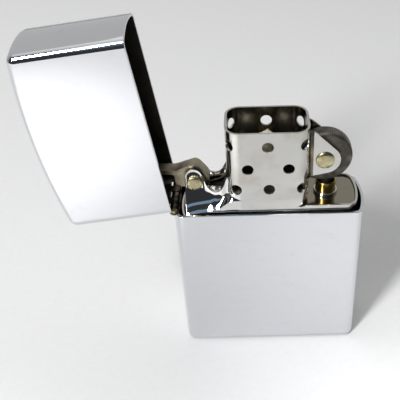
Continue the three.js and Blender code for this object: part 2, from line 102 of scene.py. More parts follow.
PLATE_TOP, PLATE_THICKNESS, CAM_BED_TOP = 36.3, 0.35, 34.95
SPRING_RIVET_X, SPRING_RIVET_HOLE = -10.6, 0.5
FLINT_X = 11.3
TUBE = {"outer": 2.0, "inner": 1.25, "bottom": 2.7, "top": 39.2}
COLLAR = {"outer": 2.4, "inner": 2.05, "bottom": 36.35, "top": 37.0}
FLINT_BOTTOM, FLINT_TOP, FLINT_RADIUS = 34.8, 39.7, 1.17
FLINT_SPRING = {"coil": 0.85, "wire": 0.13, "low": 6.53, "high": 31.37, "turns": 16}
TIP_BOTTOM, TIP_TOP, TIP_RADIUS = 31.7, 34.7, 1.15
SCREW = {"bottom": 1.15, "head_top": 2.45, "top": 6.1, "shank": 1.18, "pitch": 0.5, "thread": 0.16}
WICK_RADIUS, WICK_BOTTOM, WICK_TOP, WICK_HOLE = 1.45, 10.0, 50.2, 1.6
BRAID_BOTTOM = 38.0


# ---- helpers ----
def put(name, data):
    """Adds an object that holds this data to the scene."""
    made = bpy.data.objects.new(name, data)
    bpy.context.scene.collection.objects.link(made)
    return made


def shade_smooth(mesh):
    mesh.polygons.foreach_set("use_smooth", [True] * len(mesh.polygons))


def arc(cx, cy, radius, start, end, steps):
    """Points on an arc, angles in degrees."""
    angles = [radians(start + (end - start) * i / steps) for i in range(steps + 1)]
    return [(cx + radius * cos(a), cy + radius * sin(a)) for a in angles]


def quarter_turn(steps):
    """Angles from 0 up to a right angle."""
    return [pi / 2 * i / steps for i in range(steps + 1)]


def bowed_outline(size, inset, end_steps=8, corner_steps=10, side_steps=1):
    """A closed outline with flat sides, round corners and bowed ends, mirrored about y = 0."""
    corner_y = size["half_width"] - size["corner"]
    centre = size["half_length"] - size["end_arc"]
    corner_x = centre + math.sqrt((size["end_arc"] - size["corner"]) ** 2 - corner_y ** 2)
    tangent = math.degrees(math.atan2(corner_y, corner_x - centre))
    right = arc(centre, 0, size["end_arc"] - inset, 0, tangent, end_steps)
    right += arc(corner_x, corner_y, size["corner"] - inset, tangent, 90, corner_steps)[1:]
    left = [(-x, y) for x, y in reversed(right)]
    side_y = size["half_width"] - inset
    side = [(corner_x * (1 - 2 * i / side_steps), side_y) for i in range(1, side_steps)]
    half = right + side + left
    other = [(x, -y) for x, y in reversed(half[1:-1])]
    return [(x + size["x"], y) for x, y in half + other]


def link_mesh(name, points, faces, flatten=False):
    """A new smooth-shaded object from points in mm. flatten joins faces that lie in one plane."""
    mesh = bpy.data.meshes.new(name)
    mesh.from_pydata([tuple(c * MM for c in p) for p in points], [], faces)
    mesh.validate()
    mesh.update()
    work = bmesh.new()
    work.from_mesh(mesh)
    bmesh.ops.remove_doubles(work, verts=work.verts, dist=1e-7)
    bmesh.ops.recalc_face_normals(work, faces=work.faces)
    if flatten:
        bmesh.ops.dissolve_limit(work, angle_limit=0.002, verts=work.verts, edges=work.edges)
    work.to_mesh(mesh)
    work.free()
    shade_smooth(mesh)
    return put(name, mesh)


def finish_edges(piece, bevel, segments=2):
    """Rounds the sharp edges a little and keeps the flat faces shading flat."""
    if bevel:
        rounding = piece.modifiers.new("edge rounding", "BEVEL")
        rounding.width = bevel * MM
        rounding.segments = segments
        rounding.limit_method = "ANGLE"
        rounding.angle_limit = radians(38)
        rounding.use_clamp_overlap = True
    flat = piece.modifiers.new("flat faces", "WEIGHTED_NORMAL")
    flat.mode = "FACE_AREA"
    flat.weight = 50
    flat.keep_sharp = True


def bake_modifiers(piece):
    """Replaces the piece's mesh by its evaluated mesh."""
    graph = bpy.context.evaluated_depsgraph_get()
    result = bpy.data.meshes.new_from_object(piece.evaluated_get(graph))
    piece.modifiers.clear()
    piece.data = result


def carve(piece, cutters):
    """Subtracts each cutter from the piece and removes the cutters."""
    for cutter in cutters:
        cut = piece.modifiers.new("cut", "BOOLEAN")
        cut.operation = "DIFFERENCE"
        cut.solver = "EXACT"
        cut.object = cutter
    bake_modifiers(piece)
    for cutter in cutters:
        bpy.data.objects.remove(cutter)
    shade_smooth(piece.data)


def box_cutter(x0, x1, y0, y1, z0, z1):
    """A block for carve() to subtract."""
    corners = [(x, y, z) for x in (x0, x1) for y in (y0, y1) for z in (z0, z1)]
    faces = [(0, 1, 3, 2), (4, 6, 7, 5), (0, 4, 5, 1), (2, 3, 7, 6), (0, 2, 6, 4), (1, 5, 7, 3)]
    return link_mesh("cutter", corners, faces)


def skin(rings, closed_ring=True, caps=True):
    """Joins rings of equal length with quads. Caps join mirrored points across y = 0."""
    count = len(rings[0])
    points = [p for ring in rings for p in ring]
    faces = []
    for k in range(len(rings) - 1):
        for i in range(count if closed_ring else count - 1):
            j = (i + 1) % count
            faces.append((k * count + i, k * count + j, (k + 1) * count + j, (k + 1) * count + i))
    if caps:
        for start in (0, (len(rings) - 1) * count):
            for i in range(count // 2):
                strip = [i, i + 1, (count - i - 1) % count, (count - i) % count]
                faces.append(tuple(start + n for n in dict.fromkeys(strip)))
    return points, faces


def turned(profile, segments=48, closed=False):
    """Revolves [radius, height] pairs about the local Z axis. A closed profile makes a ring."""
    rings = []
    for radius, height in profile + ([profile[0]] if closed else []):
        angles = [2 * pi * i / segments for i in range(segments)]
        rings.append([(radius * cos(a), radius * sin(a), height) for a in angles])
    return skin(rings, caps=False)


def rod_skin(rings):
    """Joins rings into a rod with one flat face on each end."""
    points, faces = skin(rings, caps=False)
    count = len(rings[0])
    last = len(points) - count
    return points, faces + [tuple(range(count)), tuple(range(last, last + count))]


def along_y(points, x, z):
    """Stands a shape turned about Z on an axis along Y through (x, z)."""
    return [(x + px, pz, z - py) for px, py, pz in points]


def shifted(points, x=0.0, z=0.0):
    """Moves points along X and Z."""
    return [(px + x, py, pz + z) for px, py, pz in points]


def turned_piece(name, profile, x, segments, closed=False):
    """A turned object on an upright axis at x."""
    points, faces = turned(profile, segments, closed)
    return link_mesh(name, shifted(points, x=x), faces)


def without_repeats(points):
    """Drops each point that lies on the one before it."""
    clean = []
    for point in points:
        if not clean or math.dist(point, clean[-1]) > 1e-4:
            clean.append(point)
    return clean


def merged(*shapes):
    """Puts several (points, faces) shapes into one."""
    points, faces = [], []
    for shape_points, shape_faces in shapes:
        start = len(points)
        points += shape_points
        faces += [tuple(start + i for i in face) for face in shape_faces]
    return points, faces


def inside(point, loop):
    """True where the point lies inside the closed loop."""
    x, y = point
    hit = False
    for (x0, y0), (x1, y1) in zip(loop, loop[1:] + loop[:1]):
        if (y0 > y) != (y1 > y) and x < x0 + (y - y0) * (x1 - x0) / (y1 - y0):
            hit = not hit
    return hit


def sheet(outline, holes, place, thickness, creases=()):
    """Sheet metal: the outline and holes are drawn flat, and place(u, v, depth) bends them."""
    loose, edges = [], []
    for loop in (outline, *holes):
        start = len(loose)
        loose += [Vector(p) for p in loop]
        edges += [(start + i, start + (i + 1) % len(loop)) for i in range(len(loop))]
    for a, b in creases:
        edges.append((len(loose), len(loose) + 1))
        loose += [Vector(a), Vector(b)]
    flat, _, triangles, *_ = delaunay_2d_cdt(loose, edges, [], 0, 1e-6)
    kept = []
    for triangle in triangles:
        middle = sum((flat[i] for i in triangle), Vector((0, 0))) / 3
        if inside(middle, outline) and not any(inside(middle, hole) for hole in holes):
            kept.append(triangle)
    index, points, weld = {}, [], {}
    for i in {i for triangle in kept for i in triangle}:
        spot = place(flat[i].x, flat[i].y, 0.0)
        key = tuple(round(c, 4) for c in spot)
        if key not in weld:
            weld[key] = len(points)
            points.append((spot, place(flat[i].x, flat[i].y, thickness)))
        index[i] = weld[key]
    kept = [tuple(index[i] for i in triangle) for triangle in kept]
    kept = [triangle for triangle in kept if len(set(triangle)) == 3]
    count = len(points)
    directed = {(t[i], t[(i + 1) % 3]) for t in kept for i in range(3)}
    faces = list(kept) + [tuple(count + i for i in reversed(t)) for t in kept]
    for a, b in directed:
        if (b, a) not in directed:
            faces.append((b, a, count + a, count + b))
    return [p for p, _ in points] + [p for _, p in points], faces


def circle(u, v, radius, steps=40):
    """A closed round loop for a hole."""
    return arc(u, v, radius, 0, 360, steps)[:-1]


def swing_open(points):
    """Turns points drawn on the shut lid to where the open lid holds them."""
    turn = Matrix.Rotation(-LID_OPEN, 3, "Y")
    pivot = Vector((HINGE_X, 0, HINGE_Z))
    return [tuple(turn @ (Vector(p) - pivot) + pivot) for p in points]


# ---- materials ----
class Shader:
    """A small wrapper that adds nodes to a material around its Principled BSDF."""

    def __init__(self, name):
        self.material = bpy.data.materials.new(name)
        self.material.use_nodes = True
        self.nodes = self.material.node_tree.nodes
        self.links = self.material.node_tree.links
        self.surface = self.nodes["Principled BSDF"]
        self.coords = self.nodes.new("ShaderNodeTexCoord").outputs["Object"]

    def set(self, **values):
        for key, value in values.items():
            self.surface.inputs[key.title()].default_value = value

    def mapped(self, scale=(1, 1, 1), rotation=(0, 0, 0)):
        node = self.nodes.new("ShaderNodeMapping")
        node.inputs["Scale"].default_value = scale
        node.inputs["Rotation"].default_value = rotation
        self.links.new(self.coords, node.inputs["Vector"])
        return node.outputs["Vector"]

    def noise(self, scale, detail=3.0, roughness=0.5, vector=None, distortion=0.0):
        node = self.nodes.new("ShaderNodeTexNoise")
        values = {"Scale": scale, "Detail": detail, "Roughness": roughness, "Distortion": distortion}
        for socket, value in values.items():
            node.inputs[socket].default_value = value
        self.links.new(vector or self.coords, node.inputs["Vector"])
        return node.outputs["Fac"]

    def ramp(self, source, stops):
        node = self.nodes.new("ShaderNodeValToRGB")
        ramp = node.color_ramp
        while len(ramp.elements) < len(stops):
            ramp.elements.new(0.5)
        for element, (position, value) in zip(ramp.elements, stops):
            element.position = position
            element.color = value if len(value) == 4 else (*value, 1.0)
        self.links.new(source, node.inputs["Fac"])
        return node.outputs["Color"]

    def grey_ramp(self, source, stops):
        return self.ramp(source, [(at, (value, value, value)) for at, value in stops])

    def mix(self, factor, a, b):
        node = self.nodes.new("ShaderNodeMix")
        node.data_type = "RGBA"
        for source, socket in ((factor, node.inputs[0]), (a, node.inputs[6]), (b, node.inputs[7])):
            if hasattr(source, "is_output"):
                self.links.new(source, socket)
            elif isinstance(source, float):
                socket.default_value = source
            else:
                socket.default_value = (*source, 1.0)
        return node.outputs[2]

    def bump(self, source, strength, distance_mm, previous=None):
        node = self.nodes.new("ShaderNodeBump")
        node.inputs["Strength"].default_value = strength
        node.inputs["Distance"].default_value = distance_mm * MM
        self.links.new(source, node.inputs["Height"])
        if previous:
            self.links.new(previous, node.inputs["Normal"])
        return node.outputs["Normal"]

    def link(self, source, socket):
        self.links.new(source, self.surface.inputs[socket])


def chrome_material(name, tint, roughness, scuffs, waviness):
    shader = Shader(name)
    shader.set(metallic=1.0)
    cloud = shader.noise(60, 4)
    smears = shader.noise(240, 6, 0.65, shader.mapped((1, 1, 2.2), (0, 0.5, 0)), 0.6)
    smear_mask = shader.grey_ramp(smears, [(0.56, 0.0), (0.78, 1.0)])
    hairlines = shader.noise(900, 2, 0.5, shader.mapped((1.6, 1, 0.08), (0, 0.7, 0)))
    hairline_mask = shader.grey_ramp(hairlines, [(0.66, 0.0), (0.74, 1.0)])
    clean = shader.grey_ramp(cloud, [(0.35, roughness * 0.8), (0.7, roughness * 1.3)])
    worn = shader.mix(smear_mask, clean, (roughness + scuffs,) * 3)
    worn = shader.mix(hairline_mask, worn, (roughness + 0.6 * scuffs,) * 3)
    shader.link(worn, "Roughness")
    colour = shader.mix(smear_mask, tint, tuple(0.93 * c for c in tint))
    shader.link(colour, "Base Color")
    broad = shader.bump(shader.noise(45, 1), 0.25, waviness)
    fine = shader.bump(hairlines, 0.04, 0.004, broad)
    shader.link(fine, "Normal")
    return shader.material


def sheet_steel_material(name, tint, roughness, grain):
    shader = Shader(name)
    shader.set(metallic=1.0)
    lines = shader.noise(1400, 2, 0.6, shader.mapped(grain))
    stain = shader.noise(220, 5, 0.6)
    stain_mask = shader.grey_ramp(stain, [(0.5, 0.0), (0.72, 1.0)])
    warm = (tint[0] * 0.86, tint[1] * 0.83, tint[2] * 0.76)
    shader.link(shader.mix(stain_mask, tint, warm), "Base Color")
    base = shader.grey_ramp(lines, [(0.3, roughness * 0.75), (0.7, roughness * 1.35)])
    shader.link(shader.mix(stain_mask, base, (roughness * 1.6,) * 3), "Roughness")
    shader.link(shader.bump(lines, 0.06, 0.01, shader.bump(stain, 0.08, 0.03)), "Normal")
    return shader.material


def worn_metal_material(name, tint, dark, roughness, scale=500, bump_mm=0.03):
    shader = Shader(name)
    shader.set(metallic=1.0)
    blotch = shader.noise(scale, 5, 0.6)
    mask = shader.grey_ramp(blotch, [(0.38, 0.0), (0.62, 1.0)])
    shader.link(shader.mix(mask, tint, dark), "Base Color")
    rough = shader.grey_ramp(blotch, [(0.3, roughness * 0.8), (0.7, roughness * 1.4)])
    shader.link(rough, "Roughness")
    broad = shader.bump(blotch, 0.2, bump_mm)
    shader.link(shader.bump(shader.noise(scale * 5, 3), 0.15, bump_mm, broad), "Normal")
    return shader.material


def cloth_material(name, tint, shade, scale, bump_mm):
    shader = Shader(name)
    shader.set(roughness=0.95)
    shader.surface.inputs["Sheen Weight"].default_value = 0.3
    fibres = shader.noise(scale, 6, 0.7, shader.mapped((1, 1, 0.5)), 1.5)
    shader.link(shader.ramp(fibres, [(0.3, shade), (0.65, tint)]), "Base Color")
    shader.link(shader.bump(fibres, 0.8, bump_mm), "Normal")
    return shader.material


CHROME = chrome_material("polished chrome", (0.675, 0.685, 0.71), 0.045, 0.12, 0.02)
# near-black metal for the lid's inside: painted shade of the open lid's hollow
LID_INSIDE_SHADE = worn_metal_material("lid inside painted shade", (0.12, 0.11, 0.09), (0.05, 0.047, 0.04), 0.32, 120)
STAINLESS = sheet_steel_material("chimney sheet", (0.585, 0.58, 0.56), 0.11, (1, 1, 0.05))
POLISHED = chrome_material("polished sheet", (0.66, 0.655, 0.635), 0.025, 0.04, 0.002)
# dark sheet: soot and painted shade inside the chimney, painted shade in the ears' hollow bends and the
# tube's mouth
SOOT_AND_SHADE = worn_metal_material("soot and painted shade", (0.25, 0.22, 0.16), (0.06, 0.053, 0.04), 0.22, 300, 0.05)
HINGE = worn_metal_material("hinge bronze", (0.20, 0.165, 0.12), (0.07, 0.06, 0.045), 0.33, 450)
PLATE = sheet_steel_material("tank plate", (0.3, 0.27, 0.215), 0.13, (0.05, 1, 1))
NICKEL = worn_metal_material("nickel rivet", (0.52, 0.47, 0.29), (0.38, 0.34, 0.2), 0.24, 700)
SPRING = worn_metal_material("spring steel", (0.45, 0.45, 0.44), (0.33, 0.32, 0.3), 0.3)
WHEEL = worn_metal_material("wheel steel", (0.18, 0.17, 0.14), (0.09, 0.084, 0.07), 0.42, 420)
CAM = worn_metal_material("cam steel", (0.36, 0.315, 0.225), (0.2, 0.175, 0.125), 0.3, 350)
FLINT = worn_metal_material("flint", (0.06, 0.058, 0.05), (0.03, 0.03, 0.028), 0.6, 900)
BRASS = worn_metal_material("brass", (0.42, 0.31, 0.1), (0.3, 0.215, 0.065), 0.2, 500, 0.02)
WICK = cloth_material("wick cord", (0.72, 0.67, 0.52), (0.36, 0.31, 0.22), 1500, 0.12)
COTTON = cloth_material("cotton", (0.9, 0.89, 0.86), (0.7, 0.69, 0.66), 700, 0.4)
FELT = cloth_material("felt", (0.78, 0.75, 0.68), (0.58, 0.55, 0.48), 1800, 0.2)


def hand_over(piece, material, body, node=None, bevel=0, segments=2):
    """Gives the piece its edges, unless bevel is None, its material and its body, and hides the imported part
    named by node.
    """
    if bevel is not None:
        finish_edges(piece, bevel, segments)
    piece.data.materials.clear()
    piece.data.materials.append(material)
    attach(piece, body)
    if node:
        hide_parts(node)


# ---- case and lid ----
def rounded_rings(start, radius, height_at, steps, **counts):
    """Rings of a rounded edge, from the flat face out to the wall."""
    rings = []
    for angle in quarter_turn(steps):
        inset = start + radius * (1 - sin(angle))
        rise = radius * (1 - cos(angle))
        rings.append([(x, y, height_at(x, rise)) for x, y in bowed_outline(CASE, inset, **counts)])
    return rings


def rim_rings(height, outward, **counts):
    """The rolled lip between the outer and the inner wall. outward is +1 for a rim that faces up."""
    rings = []
    for angle in quarter_turn(4):
        rings.append((LIP * (1 - cos(angle)), height - outward * LIP * (1 - sin(angle))))
    for angle in reversed(quarter_turn(4)):
        rings.append((WALL - LIP * (1 - cos(angle)), height - outward * LIP * (1 - sin(angle))))
    return [[(x, y, z) for x, y in bowed_outline(CASE, inset, **counts)] for inset, z in rings]


def darken_inside(piece, is_inner, material):
    """Puts the inner material on the faces that the test picks."""
    piece.data.materials.append(material)
    for face in piece.data.polygons:
        if is_inner(face.center / MM, face.normal):
            face.material_index = 1


def make_case():
    counts = {"end_steps": 10, "corner_steps": 14}
    outer = rounded_rings(0, BOTTOM_ROUNDING, lambda x, rise: rise, 10, **counts)
    inner = rounded_rings(WALL, BOTTOM_ROUNDING - WALL, lambda x, rise: WALL + rise, 6, **counts)
    rings = outer + rim_rings(CASE_TOP, 1, **counts) + inner[::-1]
    piece = link_mesh("case_body", *skin(rings))
    carve(piece, [box_cutter(-21, -17, -NOTCH_HALF, NOTCH_HALF, HINGE_Z - NOTCH_DROP, 40)])
    hand_over(piece, CHROME, "case", "case_shell")


def make_lid():
    counts = {"end_steps": 10, "corner_steps": 14, "side_steps": 48}

    def top(x, drop):
        return LID_TOP - LID_ARCH * (x / CASE["half_length"]) ** 2 - drop

    outer = rounded_rings(0, LID_ROUNDING, top, 10, **counts)
    inner = rounded_rings(WALL, LID_ROUNDING - WALL, lambda x, drop: top(x, drop) - WALL, 6, **counts)
    rings = outer + rim_rings(CASE_TOP + SEAM, -1, **counts) + inner[::-1]
    piece = link_mesh("lid_body", *skin(rings))
    carve(piece, [box_cutter(-21, -17, -NOTCH_HALF, NOTCH_HALF, 30, HINGE_Z + NOTCH_DROP)])
    hand_over(piece, CHROME, "lid", "lid_shell")
    inner_wall = CASE["half_width"] - WALL + 0.05

    def is_inner(centre, normal):
        x, y, z = centre
        if abs(y) > inner_wall or z > LID_TOP - WALL + 0.05 or z < CASE_TOP + SEAM + 0.02:
            return False
        towards_middle = -x * normal.x / 19 - y * normal.y / 6 + (z > 50) * -normal.z
        return towards_middle > 0

    # the lid's inner faces get the near-black metal: painted shade inside the open lid
    darken_inside(piece, is_inner, LID_INSIDE_SHADE)
    for vertex, spot in zip(piece.data.vertices, swing_open([v.co / MM for v in piece.data.vertices])):
        vertex.co = Vector(spot) * MM
    piece.data.update()


make_case()
make_lid()


# ---- hinge ----
def barrel(index):
    """One rolled barrel of the hinge with softly rounded ends."""
    middle = (index - 2) * BARREL_PITCH
    half = BARREL_LENGTH / 2
    soft = 0.12
    profile = [
        (BARREL_BORE, -half), (BARREL_RADIUS - soft, -half), (BARREL_RADIUS - 0.3 * soft, -half + 0.3 * soft),
        (BARREL_RADIUS, -half + soft), (BARREL_RADIUS, half - soft),
        (BARREL_RADIUS - 0.3 * soft, half - 0.3 * soft), (BARREL_RADIUS - soft, half), (BARREL_BORE, half),
    ]
    points, faces = turned(profile, 40, closed=True)
    return along_y(shifted(points, z=middle), HINGE_X, HINGE_Z), faces


def hinge_leaf(side, other):
    """The flat leaf behind the barrels, cut away where the other leaf's barrels are.

    side is -1 for the case and +1 for the lid.
    """
    outline = [(-LEAF_HALF, side * LEAF_REACH), (LEAF_HALF, side * LEAF_REACH), (LEAF_HALF, 0)]
    for index in reversed(range(5)):
        left = max(-LEAF_HALF, (index - 2) * BARREL_PITCH - BARREL_LENGTH / 2 - 0.05)
        right = min(LEAF_HALF, (index - 2) * BARREL_PITCH + BARREL_LENGTH / 2 + 0.05)
        edge = side * (BARREL_RADIUS + 0.1) if index in other else 0
        outline += [(right, edge), (left, edge)]
    outline.append((-LEAF_HALF, 0))
    clean = without_repeats(outline)
    if clean[0] == clean[-1]:
        clean.pop()
    return sheet(clean, [], lambda u, v, d: (LEAF_FAR + d, u, HINGE_Z + v), LEAF_NEAR - LEAF_FAR)


def make_hinge():
    case_side = merged(hinge_leaf(-1, (1, 3)), barrel(0), barrel(2), barrel(4))
    piece = link_mesh("hinge_case_side", *case_side, flatten=True)
    hand_over(piece, HINGE, "case", "case_hinge_leaf", bevel=0.04)
    points, faces = merged(hinge_leaf(1, (0, 2, 4)), barrel(1), barrel(3))
    piece = link_mesh("hinge_lid_side", swing_open(points), faces, flatten=True)
    hand_over(piece, HINGE, "lid", "lid_hinge_leaf", bevel=0.04)
    half = 2.5 * BARREL_PITCH
    dome = 0.16
    profile = []
    for angle in quarter_turn(6):
        profile.append((max(PIN_RADIUS * sin(angle), 0.001), -half + dome * (1 - cos(angle))))
    profile += [(r, -y) for r, y in reversed(profile)]
    points, faces = turned(profile, 32)
    piece = link_mesh("hinge_pin_rod", along_y(points, HINGE_X, HINGE_Z), faces)
    hand_over(piece, NICKEL, "case", "hinge_pin")


make_hinge()


# ---- insert: tank walls and chimney ----
class Loop:
    """Walks round a closed outline by length, starting at its left end, for bending a sheet."""

    def __init__(self, size, thickness, **counts):
        outer = bowed_outline(size, 0, **counts)
        inner = bowed_outline(size, thickness, **counts)
        half = len(outer) // 2
        self.outer = outer[half:] + outer[:half + 1]
        self.inner = inner[half:] + inner[:half + 1]
        self.thickness = thickness
        self.at = [0.0]
        for a, b in zip(self.outer, self.outer[1:]):
            self.at.append(self.at[-1] + math.dist(a, b))
        self.length = self.at[-1]

    def spot(self, u, depth):
        i = 0
        while i < len(self.at) - 2 and self.at[i + 1] < u:
            i += 1
        f = (u - self.at[i]) / (self.at[i + 1] - self.at[i])
        g = depth / self.thickness
        return tuple(
            (a + (b - a) * f) * (1 - g) + (c + (d - c) * f) * g
            for a, b, c, d in zip(self.outer[i], self.outer[i + 1], self.inner[i], self.inner[i + 1])
        )

    def find(self, x, face):
        """Length along the loop at the given x on the front (-1) or back (+1) face."""
        best = min(
            range(400),
            key=lambda n: abs(self.spot(self.length * n / 400, 0)[0] - x)
            + (100 if self.spot(self.length * n / 400, 0)[1] * face <= 0 else 0),
        )
        lo, hi = self.length * (best - 1) / 400, self.length * (best + 1) / 400
        for _ in range(40):
            mid = (lo + hi) / 2
            left_of = self.spot(mid, 0)[0] < x
            if left_of == (face < 0):
                lo = mid
            else:
                hi = mid
        return (lo + hi) / 2

    def creases(self, low, high):
        return [((u, low - 1), (u, high + 1)) for u in self.at[1:-1]]


def smooth(t):
    """Rises from 0 to 1 as t does, level at both ends."""
    t = min(1.0, max(0.0, t))
    return t * t * (3 - 2 * t)


def make_chimney():
    loop = Loop(CHIMNEY, SHEET, end_steps=3, corner_steps=14)
    flare = TANK["half_width"] - CHIMNEY["half_width"] - LAP / 2
    flat_end = CHIMNEY["half_length"] - CHIMNEY["corner"] + 0.6

    def place(u, v, depth):
        x, y = loop.spot(u, depth)
        lean = flare * smooth((FLARE_TOP - v) / FLARE_HEIGHT) * smooth((abs(y) - 3.2) / 1.4)
        return (x, y + math.copysign(lean, y), v)

    front_left, front_right = loop.find(CHIMNEY["x"] - flat_end, -1), loop.find(FOOT_END_X, -1)
    back_right, back_left = loop.find(FOOT_END_X, 1), loop.find(CHIMNEY["x"] - flat_end, 1)
    step = TANK_RIM + 0.8
    outline = [
        (0, CHIMNEY_BOTTOM), (front_left, CHIMNEY_BOTTOM),
        (front_left, CHIMNEY_FOOT), (front_right, CHIMNEY_FOOT),
        (front_right, TANK_RIM + 0.1), (front_right + 0.3, step), (back_right - 0.3, step),
        (back_right, TANK_RIM + 0.1), (back_right, CHIMNEY_FOOT), (back_left, CHIMNEY_FOOT),
        (back_left, CHIMNEY_BOTTOM), (loop.length, CHIMNEY_BOTTOM),
        (loop.length, CHIMNEY_TOP), (0, CHIMNEY_TOP),
    ]
    holes = []
    for z, offsets in VENT_ROWS:
        for offset in offsets:
            for face in (-1, 1):
                holes.append(circle(loop.find(CHIMNEY["x"] + offset, face), z, VENT_RADIUS))
    slot_half = WHEEL_HALF + WHEEL_SLOT_GAP
    wall_x = CHIMNEY["x"] + CHIMNEY["half_length"]
    rise = math.sqrt((WHEEL_RADIUS + WHEEL_SLOT_GAP) ** 2 - (WHEEL_X - wall_x) ** 2)
    middle = loop.length / 2
    holes.append([
        (middle - slot_half, WHEEL_Z - rise), (middle + slot_half, WHEEL_Z - rise),
        (middle + slot_half, WHEEL_Z + rise), (middle - slot_half, WHEEL_Z + rise),
    ])
    creases = loop.creases(CHIMNEY_FOOT, CHIMNEY_TOP)
    lowest, gap = 37.55, 0.35
    for i in range(11):
        z = lowest + gap * i
        creases.append(((-1, z), (loop.length + 1, z)))
    piece = link_mesh("chimney", *sheet(outline, holes, place, SHEET, creases), flatten=True)
    hand_over(piece, STAINLESS, "insert", "insert_shell", bevel=0.05)

    def faces_in(centre, normal):
        x, y, z = centre
        return (x - CHIMNEY["x"]) * normal.x / 8 + y * normal.y / 5 < -0.3

    # the inner faces get the dark sheet: soot and painted shade inside the chimney
    darken_inside(piece, faces_in, SOOT_AND_SHADE)


def make_tank():
    loop = Loop(dict(TANK, half_width=TANK["half_width"] - LAP), SHEET, end_steps=6, corner_steps=10)

    def place(u, v, depth):
        return (*loop.spot(u, depth), v)

    front, back = loop.find(CAM_SIDE_END, -1), loop.find(CAM_SIDE_END, 1)
    slit_front, slit_back = loop.find(SLIT_X, -1), loop.find(SLIT_X, 1)
    outline = [(0, TANK_BOTTOM), (loop.length, TANK_BOTTOM), (loop.length, TANK_RIM_CAM)]
    outline += [(back, TANK_RIM_CAM), (back, TANK_RIM - 0.3), (slit_back, TANK_RIM - 0.3)]
    outline += [(slit_back - 0.3, TANK_RIM), (slit_front + 0.3, TANK_RIM), (slit_front, TANK_RIM - 0.3)]
    outline += [(front, TANK_RIM - 0.3), (front, TANK_RIM_CAM), (0, TANK_RIM_CAM)]
    creases = loop.creases(TANK_BOTTOM, TANK_RIM)
    piece = link_mesh("tank_wall", *sheet(outline, [], place, SHEET, creases), flatten=True)
    hand_over(piece, STAINLESS, "insert", "insert_shell", bevel=0.06)


def make_wheel_ears():
    """Each ear is a tab folded out of the chimney's end wall: a hollow bend, then flat past the rivet."""
    corner_x = CHIMNEY["x"] + CHIMNEY["half_length"] - CHIMNEY["corner"]
    corner_y = CHIMNEY["half_width"] - CHIMNEY["corner"]
    fillet_y = WHEEL_EAR_OUTER + EAR_FILLET
    reach = CHIMNEY["corner"] + EAR_FILLET
    fillet_x = corner_x + math.sqrt(reach ** 2 - (fillet_y - corner_y) ** 2)
    root = fillet_x - 0.95 * EAR_FILLET
    tip = arc(WHEEL_X, WHEEL_Z, WHEEL_EAR_RADIUS, -80, 45, 28)
    outline = [(root, 41.45), *tip, (9.4, 50.7), (9.0, 51.0), (8.6, 51.25), (8.2, 51.45), (root, 51.6)]
    rivet_hole = circle(WHEEL_X, WHEEL_Z, WHEEL_RIVET["shaft"] + 0.04)
    creases = []
    for i in range(1, 11):
        u = root + (fillet_x - root) * i / 10
        creases.append(((u, 41), (u, 54)))
    shapes = []
    for face in (-1, 1):
        def place(u, v, depth, face=face):
            across = min(max(fillet_x - u, 0.0), 0.99 * EAR_FILLET)
            y = fillet_y - math.sqrt(EAR_FILLET ** 2 - across ** 2)
            return (u, face * (y - depth), v)
        shapes.append(sheet(outline, [rivet_hole], place, WHEEL_EAR_SHEET, creases))
    piece = link_mesh("wheel_ears", *merged(*shapes), flatten=True)
    hand_over(piece, STAINLESS, "insert", "insert_shell", bevel=0.06)
    # the hollow bend gets the dark sheet: painted shade in the crease by the chimney
    darken_inside(piece, lambda centre, normal: centre.x < fillet_x - 0.02, SOOT_AND_SHADE)


# the cam's ear by columns: x, where the tank's face folds in, how much of the full bow, its edge's height
CAM_EAR = [
    (-16.2, 34.85, 1.0, 41.8), (-16.0, 34.9, 1.0, 42.4), (-15.4, 35.05, 1.0, 43.1),
    (-14.4, 35.25, 1.0, 43.35), (-13.5, 35.42, 1.0, 43.0), (-12.9, 35.55, 1.0, 42.2),
    (-12.4, 35.67, 1.0, 41.0), (-11.8, 35.83, 1.0, 39.85), (-11.0, 36.08, 1.0, 39.25),
    (-10.2, 36.28, 1.0, 39.15), (-9.4, 36.65, 1.15, 39.6), (-8.6, 37.3, 1.3, 41.0),
    (-8.2, 37.65, 1.3, 42.2), (-7.8, 37.9, 1.1, 42.4), (-7.4, 38.05, 0.8, 39.7),
    (-7.0, 38.15, 0.65, 39.5), (-6.5, 38.2, 0.55, 39.3), (-6.0, 38.2, 0.45, 39.2),
    (-5.4, 38.2, 0.4, 39.1),
]
CAM_EAR_LEAN = 0.3
CAM_EAR_BOW, CAM_EAR_BOW_RISE = 1.18, 3.0
CAM_EAR_RIM = 0.55


def cam_ear_section(x, fold, share, edge, rows):
    """The outer face of a column, as depth and height: it bows in above the fold, leans, and ends upright.

    Towards the chimney it bows more sharply and stands upright at once.
    """
    by_chimney = smooth((x + 10.4) / 1.6)
    lean = CAM_EAR_LEAN * (1 - by_chimney)
    full_rise = CAM_EAR_BOW_RISE - 1.4 * by_chimney
    bow_rise = min(full_rise, edge - fold - CAM_EAR_RIM - 0.05)
    line = [(0.0, 33.4), (0.0, fold - 0.1)]
    for i in range(rows + 1):
        rise = bow_rise * i / rows
        bow = 1 - (1 - rise / full_rise) ** 1.5
        line.append((lean * rise + share * CAM_EAR_BOW * bow, fold + rise))
    rim = edge - CAM_EAR_RIM
    line.append((line[-1][0] + lean * (rim - line[-1][1]), rim))
    line.append((line[-1][0], edge))
    return line


def curve_through(points, per_span):
    """A smooth open curve through the points (Catmull-Rom)."""
    padded = [points[0], *points, points[-1]]
    out = []
    for a, b, c, d in zip(padded, padded[1:], padded[2:], padded[3:]):
        for i in range(per_span):
            t = i / per_span
            out.append(tuple(
                q + 0.5 * t * (r - p + t * (2 * p - 5 * q + 4 * r - s + t * (3 * (q - r) + s - p)))
                for p, q, r, s in zip(a, b, c, d)
            ))
    return out + [points[-1]]


